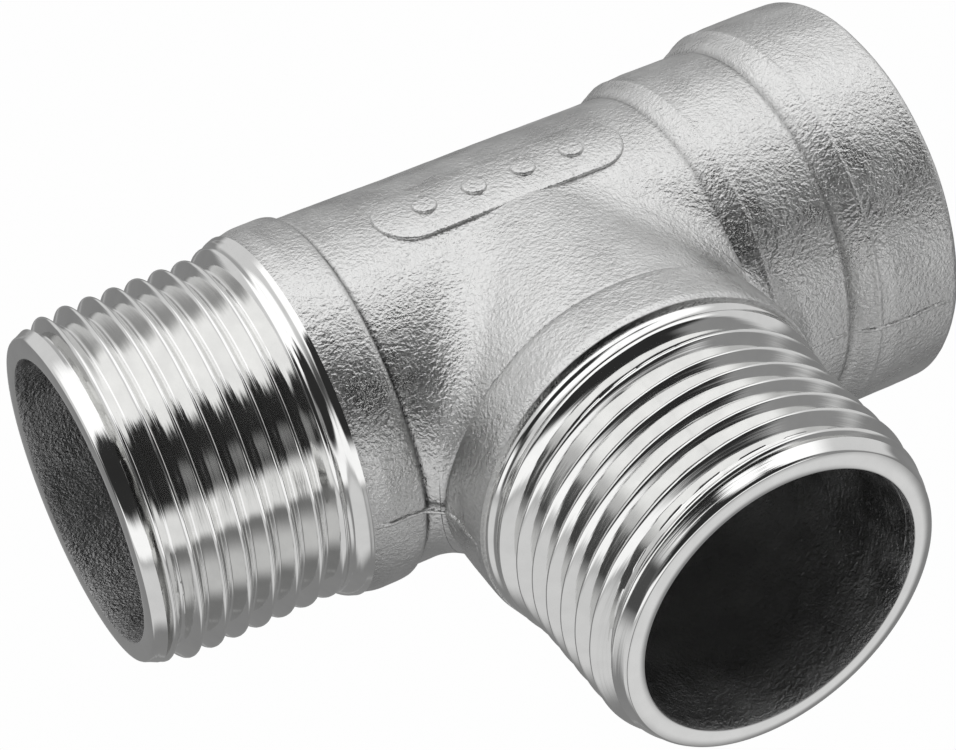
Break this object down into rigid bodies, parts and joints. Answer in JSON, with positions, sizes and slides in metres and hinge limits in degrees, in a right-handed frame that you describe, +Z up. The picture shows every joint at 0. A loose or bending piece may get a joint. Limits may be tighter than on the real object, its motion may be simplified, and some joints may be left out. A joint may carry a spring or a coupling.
{
  "type": "pipe tee fitting",
  "caption": "Cast stainless pipe tee with a male taper thread on one run end and on the branch, and a female threaded socket on the other run end.",
  "frame": {"origin": "where the run axis and the branch axis cross", "axes": "+X along the run towards the socket, -Y along the branch towards its thread, +Z up towards the marking pad"},
  "size_m": [0.0818, 0.0639, 0.0394],
  "materials": {
    "cast_steel": "satin, blasted casting",
    "turned_steel": "bright turned"
  },
  "bodies": {
    "root": {"tee_body": "cast_steel", "run_collar": "cast_steel", "branch_collar": "cast_steel", "run_thread": "turned_steel", "branch_thread": "turned_steel", "run_end_rim": "turned_steel", "branch_end_rim": "turned_steel", "socket_neck": "cast_steel", "socket_band": "cast_steel", "socket_thread": "turned_steel", "marking_pad": "cast_steel", "marking_pips": "cast_steel", "parting_line": "cast_steel"}
  },
  "joints": []
}
